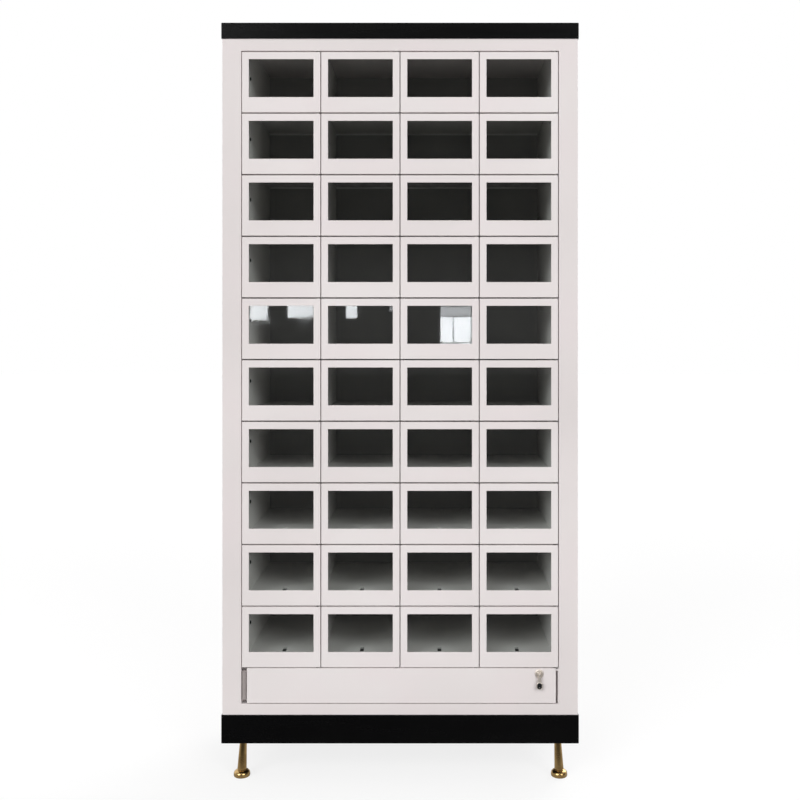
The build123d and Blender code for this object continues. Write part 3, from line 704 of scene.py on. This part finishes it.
def service_leaf():
    """The low door: a shallow folded tray with a pressed panel in its back."""
    shape = Shape()
    rings = [(SERVICE, -PRESSED_IN - 1, DOOR_BACK - 0.6, 3.0), (SERVICE, -PRESSED_IN, DOOR_BACK, 4.0)]
    rings += [(SERVICE, -0.5, DOOR_BACK, 0.9), (SERVICE, 0, DOOR_BACK - 0.5, 1.0)]
    rings += folded_edge(SERVICE, DOOR_FRONT)
    shape.join([shape.outline(*each) for each in rings])
    shape.coat(0)
    knuckle(shape, HINGE_MIDDLE)
    low, high = HINGE_MIDDLE - KNUCKLE_HEIGHT / 2, HINGE_MIDDLE + KNUCKLE_HEIGHT / 2
    right = SERVICE[0] - SEAM
    shape.bar(at(HINGE_X, WEB_BACK - HINGE_SHEET, low), at(right, WEB_BACK, high), edge=0.2)
    leaf_left = right - HINGE_SHEET
    shape.bar(at(leaf_left, HINGE_DEPTH, low), at(right, DOOR_BACK - INNER_SHEET, high), edge=0.2)
    shape.coat(1)
    return shape.mesh("service_door_folded", [door_paint, hinge_paint])


def service_hinge():
    """The hinge's half on the frame: a leaf, two knuckles and the pin through all three."""
    shape = Shape()
    pitch = KNUCKLE_HEIGHT + KNUCKLE_GAP
    reach = pitch + KNUCKLE_HEIGHT / 2
    left = OPENING[0]
    shape.bar(
        at(left, HINGE_DEPTH, HINGE_MIDDLE - reach),
        at(left + HINGE_SHEET, HINGE_DEPTH + HINGE_LEAF_REACH, HINGE_MIDDLE + reach),
        edge=0.2,
    )
    for middle in (HINGE_MIDDLE - pitch, HINGE_MIDDLE + pitch):
        knuckle(shape, middle)
        low, high = middle - KNUCKLE_HEIGHT / 2, middle + KNUCKLE_HEIGHT / 2
        shape.bar(at(left, WEB_BACK - HINGE_SHEET, low), at(HINGE_X, WEB_BACK, high), edge=0.2)
    end = reach + HINGE_PIN_OVERHANG
    pin = [(0, -end), (1.4, -end), (2, -end + 0.5), (2, end - 0.5), (1.4, end), (0, end)]
    shape.turned(pin, at(HINGE_X, HINGE_DEPTH, HINGE_MIDDLE), UPWARD, 16)
    shape.coat(0)
    return shape.mesh("service_hinge_rolled", [hinge_paint])


show(service_leaf(), "service_door_folded", "service_door", ("service_door",))
show(service_hinge(), "service_hinge_rolled", "cabinet", ("service_door_hinge",))


# Cam lock, plug and key

LOCK = (352.0, 277.0)
BEZEL_FRONT = -5.0
CAM_FRONT = 21.5
CAM_BACK = 23.5
CAM_REACH = 45.0
CAM_WIDTH = 14
CAM_CORNER = 6.6
KEY_PIVOT = -10.0
KEY_EARS = (1.9, 4.0)
KEY_EAR_REACH = 2
# The key's shank and neck: half their width, half their thickness and how far below the pin they start.
KEY_SHANK = (1.6, 1.6, 1.2)
KEY_NECK = (4.2, 1.7, 6.0)
KEY_OVERLAP = 1.2
# The key's head by its width and by its upper and lower ends below the pin.
KEY_HEAD = (16.0, 19.0, 38.0)
KEY_HEAD_CORNER = 7.4
KEY_HOLE = 3.6
KEY_HOLE_RISE = 5.6


def at_lock(depth, right=0.0, up=0.0):
    """A point beside the axis of the lock."""
    return at(LOCK[0] + right, depth, LOCK[1] + up)


def cam_lock():
    """The lock's bezel and barrel, with its nut behind the skin."""
    shape = Shape()
    bezel = [(6.1, -4.2), (6.5, -4.6), (8.0, -5.0), (9.2, -4.95), (10.2, -4.5), (10.8, -3.6)]
    bezel += [(11.0, -2.6), (11.0, -2.0)]
    barrel = [(9.5, -2.0), (9.5, 19.4), (8.9, 20.0), (6.1, 20.0), (6.1, -4.2)]
    shape.turned(bezel + barrel, at_lock(0), steps=40)
    nut = [(16.2, 12.4), (16.6, 13), (19.6, 13), (20, 12.4)]
    shape.join([shape.hexagon(at_lock(depth), radius) for depth, radius in nut])
    shape.coat(0)
    return shape.mesh("cam_lock_plated", [nickel])


def lock_plug():
    """The plug that turns in the lock, with the key's ears in front and the cam behind."""
    shape = Shape()
    face = [(0, -5.0), (5.2, -5.0), (5.7, -4.8), (6.0, -4.4)]
    tail = [(6.0, 21.3), (4.0, 21.3), (4.0, CAM_BACK), (0, CAM_BACK)]
    shape.turned(face + tail, at_lock(0), steps=32)
    for side in (-1, 1):
        inner, outer = sorted(side * distance for distance in KEY_EARS)
        front = at_lock(KEY_PIVOT - KEY_EAR_REACH, inner, -KEY_EAR_REACH)
        shape.bar(front, at_lock(BEZEL_FRONT, outer, KEY_EAR_REACH), edge=0.5)
    pin = [(0, -4.0), (0.8, -4.0), (1.0, -3.8), (1.0, 3.8), (0.8, 4.0), (0, 4.0)]
    shape.turned(pin, at_lock(KEY_PIVOT), ACROSS, 12)
    middle = (CAM_WIDTH / 2 - CAM_REACH) / 2
    size = (CAM_WIDTH, CAM_REACH + CAM_WIDTH / 2)
    edge = 0.3
    cam = [(CAM_FRONT, edge), (CAM_FRONT + edge, 0), (CAM_BACK - edge, 0), (CAM_BACK, edge)]
    rings = []
    for depth, inset in cam:
        shrunk = [length - 2 * inset for length in size]
        rings.append(shape.ring(at_lock(depth, 0, middle), shrunk, CAM_CORNER - inset, FACING, 5))
    shape.join(rings)
    screw = [(0, 25.7), (2.6, 25.6), (4.2, 25.0), (5.0, 24.1), (5.0, 23.7), (0, 23.7)]
    shape.turned(screw, at_lock(0), steps=20)
    shape.coat(0)
    return shape.mesh("plug_and_cam", [nickel])


def folding_key():
    """The key's head, a bright rim around a dark middle, and the shank and neck it hangs by."""
    shape = Shape()
    width, head_top, head_bottom = KEY_HEAD
    middle = -(head_top + head_bottom) / 2

    def outline(depth, inset):
        """The head's outline at a depth, drawn in by an inset."""
        size = (width - 2 * inset, head_bottom - head_top - 2 * inset)
        return shape.ring(at_lock(depth, 0, middle), size, KEY_HEAD_CORNER - inset, FACING, 6)

    def bore(depth, wider):
        """The hole near the head's lower end."""
        diameter = KEY_HOLE + 2 * wider
        centre = at_lock(depth, 0, KEY_HOLE_RISE - head_bottom)
        return shape.ring(centre, (diameter, diameter), diameter / 2, FACING, 6)

    def mirrored(rings):
        """The same rings on the other side of the head, in reverse order."""
        return [(2 * KEY_PIVOT - depth, inset) for depth, inset in reversed(rings)]

    grip = [(-11.9, 2.2), (-12.3, 2.3), (-12.5, 2.9), (-12.5, 3.3)]
    front = [outline(*each) for each in grip] + [bore(-12.5, 0.2), bore(-12.2, 0)]
    back = [bore(-7.8, 0), bore(-7.5, 0.2)] + [outline(*each) for each in mirrored(grip)]
    shape.join(front + back, closed=True)
    shape.coat(0)
    rim = [(-11.9, 2.0), (-12.2, 1.6), (-12.2, 0.7), (-11.8, 0.2), (-11.2, 0)]
    shape.join([outline(*each) for each in rim + mirrored(rim)], closed=True)
    for (half_width, half_thickness, drop), edge in ((KEY_SHANK, 0.4), (KEY_NECK, 0.8)):
        low = at_lock(KEY_PIVOT - half_thickness, -half_width, -head_top - KEY_OVERLAP)
        shape.bar(low, at_lock(KEY_PIVOT + half_thickness, half_width, -drop), edge)
    eye = [(1.05, -1.6), (1.8, -1.6), (2.0, -1.4), (2.0, 1.4), (1.8, 1.6), (1.05, 1.6), (1.05, -1.6)]
    shape.turned(eye, at_lock(KEY_PIVOT), ACROSS, 16)
    shape.coat(1)
    return shape.mesh("key_hanging", [black_plastic, nickel])


show(cam_lock(), "cam_lock_plated", "service_door", ("cam_lock",))
show(lock_plug(), "plug_and_cam", "lock_plug", ("key_and_plug",))
show(folding_key(), "key_hanging", "key_head", ("key_head",))


# Sensor eyes

EYE_PROFILE = [
    (0, 2.3), (1.6, 2.1), (2.6, 1.6), (3.2, 2.3), (4.2, 2.5), (4.8, 2.2), (5, 1.7), (5, 0), (0, 0),
]


def sensor_eyes():
    """A small domed lens in a ring on the left wall of every compartment."""
    shape = Shape()
    half_pitch = (column_centres[1] - column_centres[0]) / 2
    walls = [-STOP_INNER + INNER_SHEET]
    walls += [centre - half_pitch + PARTITION / 2 for centre in column_centres[1:]]
    for wall in walls:
        for bottom in row_bottoms:
            height = bottom + door_size[1] / 2 + SENSOR_ABOVE_CENTRE
            shape.turned(EYE_PROFILE, at(wall, SENSOR_DEPTH, height), ACROSS, 12)
    shape.coat(0)
    return shape.mesh("sensor_lenses", [black_plastic])


show(sensor_eyes(), "sensor_lenses", "cabinet", ("sensor_eyes",))


# Rear screws

SCREW_X = 438.6
SCREW_LOWEST = 233.2
SCREW_HIGHEST = 1822.8
SCREWS_EACH_SIDE = 5
SCREW_SOCKET = 1.8
REAR_FACE = 392.0


def rear_screws():
    """Button-head screws with a hexagon socket, five up each side of the rear panel."""
    shape = Shape()
    pitch = (SCREW_HIGHEST - SCREW_LOWEST) / (SCREWS_EACH_SIDE - 1)
    head = [(4.4, 0), (4.5, 0.4), (4.0, 1.2), (3.1, 1.8), (2.2, 2.0)]
    socket = (2.0, 0.9)
    for side in (-1, 1):
        for place in range(SCREWS_EACH_SIDE):
            x, z = side * SCREW_X, SCREW_LOWEST + pitch * place
            rings = [
                shape.ring(at(x, REAR_FACE + out, z), (2 * radius, 2 * radius), radius, FACING, 4)
                for radius, out in head
            ]
            rings += [shape.hexagon(at(x, REAR_FACE + out, z), SCREW_SOCKET) for out in socket]
            shape.join(rings)
    shape.coat(0)
    return shape.mesh("rear_screw_heads", [steel])


show(rear_screws(), "rear_screw_heads", "cabinet", ("rear_screws",))


# Control gear

BASE_TOP = 173.2
# Plans are given as left, right, front and back.
CONTROLLER = (-280.0, -60.0, 175.0, 325.0)
CONTROLLER_HEIGHT = 58.0
LID_HEIGHT = 16
LID_SCREW_INSET = 9
SUPPLY = (35.0, 225.0, 195.0, 305.0)
SUPPLY_HEIGHT = 50.0
FINS = 23
FIN_HEIGHT = 10
FIN_WIDTH = 2
FIN_MARGINS = (5, 3)
HOUSING_CORNER = 3.0
# Each row of terminals by the housing it is on, their count and their pitch.
TERMINAL_ROWS = ((CONTROLLER, 18, 10.5), (SUPPLY, 9, 13.0))
TERMINAL_MARGIN = 15
TERMINAL_REACH = 4.0
TERMINAL_HEIGHTS = (10, 26)
INLET = (-250.0, BASE_TOP + 45.0)
INLET_PINS = ((-7, -1.5), (0, 2.5), (7, -1.5))


def housing(shape, plan, levels):
    """A rounded box over a plan, from the height and inset of each ring."""
    left, right, front, back = plan
    rings = []
    for height, inset in levels:
        size = (right - left - 2 * inset, back - front - 2 * inset)
        centre = at((left + right) / 2, (front + back) / 2, BASE_TOP + height)
        rings.append(shape.ring(centre, size, HOUSING_CORNER - inset, UPWARD))
    shape.join(rings)


def lid_screws(shape, plan, height):
    """Low domed screw heads near the corners of a lid."""
    left, right, front, back = plan
    dome = [(0, 1.0), (1.6, 0.9), (2.7, 0.5), (3.0, 0), (0, 0)]
    for x in (left + LID_SCREW_INSET, right - LID_SCREW_INSET):
        for depth in (front + LID_SCREW_INSET, back - LID_SCREW_INSET):
            shape.turned(dome, at(x, depth, BASE_TOP + height), UPWARD, 16)


def fins(shape):
    """The cooling fins on the power supply."""
    left, right, front, back = SUPPLY
    side, end = FIN_MARGINS
    spread = right - left - 2 * side - FIN_WIDTH
    foot = BASE_TOP + SUPPLY_HEIGHT - FIN_HEIGHT - 1
    for fin in range(FINS):
        x = left + side + spread * fin / (FINS - 1)
        low = at(x, front + end, foot)
        shape.bar(low, at(x + FIN_WIDTH, back - end, BASE_TOP + SUPPLY_HEIGHT), edge=0.4)


def terminal_screws(shape):
    """A screw in the middle of every terminal."""
    head = [(0, 0.9), (2.0, 0.8), (2.6, 0), (0, 0)]
    height = BASE_TOP + sum(TERMINAL_HEIGHTS) / 2
    for plan, count, pitch in TERMINAL_ROWS:
        for terminal in range(count):
            x = plan[0] + TERMINAL_MARGIN + pitch * (terminal + 0.5)
            shape.turned(head, at(x, plan[2] - TERMINAL_REACH, height), FACING, 12)


def terminal_blocks(shape):
    """The blocks of the terminals, along the front of both housings."""
    bottom, top = TERMINAL_HEIGHTS
    for plan, count, pitch in TERMINAL_ROWS:
        for terminal in range(count):
            x = plan[0] + TERMINAL_MARGIN + pitch * terminal
            low = at(x, plan[2] - TERMINAL_REACH, BASE_TOP + bottom)
            shape.bar(low, at(x + pitch - 1, plan[2] + 1, BASE_TOP + top), edge=0.6)


def power_inlet(shape):
    """The inlet's flanged body, open at the back."""
    x, z = INLET

    def around(half_width, half_height):
        """Limits about the middle of the inlet."""
        return (x - half_width, x + half_width, z - half_height, z + half_height)

    body, flange, mouth = around(14, 11), around(24, 12.5), around(12.5, 9.5)
    rings = [(body, 0, REAR_FACE - 30, 1.0), (body, 0, REAR_FACE, 1.0), (flange, 0, REAR_FACE, 2.0)]
    rings += [(flange, 0, REAR_FACE + 1.1, 2.0), (flange, -0.4, REAR_FACE + 1.5, 1.6)]
    rings += [(mouth, 0.3, REAR_FACE + 1.5, 2.3), (mouth, 0, REAR_FACE + 1.2, 2.0)]
    rings += [(mouth, 0, REAR_FACE - 14, 2.0)]
    shape.join([shape.outline(*each) for each in rings])


def inlet_pins(shape):
    """The three flat pins in the inlet."""
    for right, up in INLET_PINS:
        x, z = INLET[0] + right, INLET[1] + up
        shape.bar(at(x - 1, REAR_FACE - 14.5, z - 2.5), at(x + 1, REAR_FACE - 2, z + 2.5), edge=0.4)


def control_gear():
    """Controller and finned supply in the service bay, and the power inlet in the rear panel."""
    shape = Shape()
    lid = CONTROLLER_HEIGHT - LID_HEIGHT
    lid_top = CONTROLLER_HEIGHT - 1
    levels = [(0, 0.6), (0.6, 0), (lid - 0.6, 0), (lid, 0.8), (lid + 1, 0.8), (lid + 1.6, 0)]
    housing(shape, CONTROLLER, levels + [(lid_top - 2, 0), (lid_top - 0.6, 0.5), (lid_top, 1.6)])
    shape.coat(0)
    supply_top = SUPPLY_HEIGHT - FIN_HEIGHT
    housing(shape, SUPPLY, [(0, 0.6), (0.6, 0), (supply_top - 0.6, 0), (supply_top, 0.6)])
    fins(shape)
    lid_screws(shape, CONTROLLER, lid_top)
    terminal_screws(shape)
    shape.coat(1)
    terminal_blocks(shape)
    power_inlet(shape)
    shape.coat(2)
    inlet_pins(shape)
    shape.coat(3)
    return shape.mesh("control_gear", [housing_plastic, steel, black_plastic, chrome])


show(control_gear(), "control_gear", "cabinet", ("control_unit",))


# Studio, in metres

scene = bpy.context.scene
FLOOR_HALF = 30
FLOOR_DARK_FROM = -0.4
FLOOR_PALE_FROM = 0.1
ROOM_WALL_Y = -3.2
SOFT_LIGHT = 0.45
SOFT_LIGHT_LOST_AHEAD = 0.85
FLOOR_GREY = 0.36
FLOOR_DARKENING = 0.26
FLOOR_GLOW = 0.8
# How bright reflections see the room: everywhere, above, in a level band, to the left and behind.
ROOM_DIM = 0.03
ROOM_ABOVE = 0.65
ROOM_BAND = 0.22
ROOM_LEFT = 0.6
ROOM_BEHIND = 0.95
# Each window of the room by its left, right, bottom and top, and by how bright it is.
ROOM_WINDOWS = (
    (-0.928, -0.827, 1.234, 1.32, 12.0),
    (-0.716, -0.572, 1.246, 1.32, 12.0),
    (-0.389, -0.329, 1.244, 1.32, 12.0),
    (-0.144, -0.13, 1.283, 1.32, 6.0),
    (0.138, 0.31, 1.256, 1.311, 6.0),
    (0.138, 0.207, 1.104, 1.25, 15.0),
    (0.213, 0.31, 1.104, 1.25, 15.0),
)
# Each lamp by its name, its strength, where it shines from and its angle across, in degrees.
STUDIO_LAMPS = (
    ("left_lamp", 1.55, (-0.52, -0.74, 0.43), 34),
    ("right_lamp", 1.1, (0.5, -0.76, 0.42), 30),
    ("rear_lamp", 1.5, (0.5, 0.75, 0.6), 40),
)
CAMERA_X = 0.073
CAMERA_HEIGHT = 1.121
CAMERA_DISTANCE = 2.49
CAMERA_LENS = 44.3
CAMERA_SENSOR = 36
CAMERA_SHIFT = (-0.0361, -0.075)


def studio_floor():
    """A pale floor that keeps the object's shadow. Reflections see it darker in front of the object."""
    bm = bmesh.new()
    bmesh.ops.create_grid(bm, x_segments=1, y_segments=1, size=FLOOR_HALF)
    mesh = bpy.data.meshes.new("studio_floor")
    bm.to_mesh(mesh)
    bm.free()
    nodes = finish_named("studio_floor")
    camera_ray, glossy_ray, through = nodes.rays()
    where = nodes.add("ShaderNodeTexCoord", output="Object")
    depth = nodes.add("ShaderNodeSeparateXYZ", {}, {0: where}, "Y")
    behind = nodes.steps(depth, FLOOR_DARK_FROM, FLOOR_PALE_FROM)
    grey = FLOOR_GREY - FLOOR_DARKENING * glossy_ray * (1 - behind)
    colour = nodes.add("ShaderNodeCombineColor", {}, {0: grey, 1: grey, 2: grey})
    unseen_side = nodes.add("ShaderNodeBsdfDiffuse", {}, {"Color": colour})
    pale = nodes.add("ShaderNodeBsdfDiffuse", {}, {"Color": (1, 1, 1, 1)})
    glow = nodes.add("ShaderNodeEmission", {}, {"Color": (1, 1, 1, 1), "Strength": 1.0})
    seen_side = nodes.add("ShaderNodeMixShader", {}, {0: FLOOR_GLOW, 1: pale, 2: glow})
    white = camera_ray + through + glossy_ray * behind
    nodes.surface(nodes.add("ShaderNodeMixShader", {}, {0: white, 1: unseen_side, 2: seen_side}))
    mesh.materials.append(nodes.owner)
    floor = bpy.data.objects.new("studio_floor", mesh)
    scene.collection.objects.link(floor)


def studio_world():
    """White for the camera and behind the object; above it bright, and in front of it a dim room."""
    world = bpy.data.worlds.new("studio")
    scene.world = world
    nodes = Nodes(world)
    direction = nodes.add("ShaderNodeTexCoord", output="Generated")
    to_right, to_back, upwards = [
        nodes.add("ShaderNodeSeparateXYZ", {}, {0: direction}, axis) for axis in "XYZ"
    ]
    above = nodes.steps(upwards, 0.3, 0.9)
    behind = nodes.steps(to_back, -0.1, 0.4)
    level_band = 1 - nodes.steps(upwards * upwards, 0.002, 0.012)
    leftward = nodes.steps(0 - to_right, 0.25, 0.9)
    beside = ROOM_BAND * level_band + ROOM_LEFT * leftward
    mirrored = ROOM_DIM + ROOM_ABOVE * above + (1 - above) * beside + behind * ROOM_BEHIND
    ahead = nodes.steps(0 - to_back, 0.74, 0.94)
    soft_light = SOFT_LIGHT * (1 - SOFT_LIGHT_LOST_AHEAD * ahead)
    camera_ray, glossy_ray, through = nodes.rays()
    white = camera_ray + through
    lit = soft_light + glossy_ray * (mirrored - soft_light)
    strength = white + (1 - white) * lit
    background = nodes.add("ShaderNodeBackground", {}, {"Color": (1, 1, 1, 1), "Strength": strength})
    nodes.add("ShaderNodeOutputWorld", {}, {"Surface": background})


def room_window(name, left, right, bottom, top, strength):
    """A bright window of the room in front, which only shows as a reflection in the glass doors."""
    bm = bmesh.new()
    size = Vector((right - left, 1, top - bottom))
    centre = Vector(((left + right) / 2, ROOM_WALL_Y, (bottom + top) / 2))
    bmesh.ops.create_grid(
        bm, x_segments=1, y_segments=1, size=0.5,
        matrix=Matrix.LocRotScale(centre, None, size) @ FACING,
    )
    mesh = bpy.data.meshes.new(name)
    bm.to_mesh(mesh)
    bm.free()
    nodes = finish_named(name)
    glow = nodes.add("ShaderNodeEmission", {}, {"Color": (0.95, 0.97, 1, 1), "Strength": strength})
    nodes.surface(glow)
    mesh.materials.append(nodes.owner)
    window = bpy.data.objects.new(name, mesh)
    scene.collection.objects.link(window)
    window.visible_camera = False
    window.visible_diffuse = False
    window.visible_transmission = False
    window.visible_shadow = False


def studio_lamp(name, strength, towards, softness):
    """A distant soft lamp that shines from a direction."""
    lamp = bpy.data.lights.new(name, "SUN")
    lamp.energy = strength
    lamp.angle = math.radians(softness)
    holder = bpy.data.objects.new(name, lamp)
    scene.collection.objects.link(holder)
    holder.location = Vector(towards) * 4
    holder.rotation_euler = Vector(towards).to_track_quat("Z", "Y").to_euler()


def studio_camera():
    """The camera, level and square to the front, a little above and to the right of the middle."""
    camera = bpy.data.cameras.new("camera")
    camera.lens = CAMERA_LENS
    camera.sensor_width = CAMERA_SENSOR
    camera.shift_x, camera.shift_y = CAMERA_SHIFT
    holder = bpy.data.objects.new("camera", camera)
    scene.collection.objects.link(holder)
    doors_y = (FRAME_FRONT + DOOR_FRONT) * MILLIMETRE
    holder.location = (CAMERA_X, doors_y - CAMERA_DISTANCE, CAMERA_HEIGHT)
    holder.rotation_euler = (math.pi / 2, 0, 0)
    return holder


studio_floor()
studio_world()
for number, window in enumerate(ROOM_WINDOWS, start=1):
    room_window(f"room_window_{number}", *window)
for lamp in STUDIO_LAMPS:
    studio_lamp(*lamp)
scene.camera = studio_camera()
scene.view_settings.view_transform = "Standard"
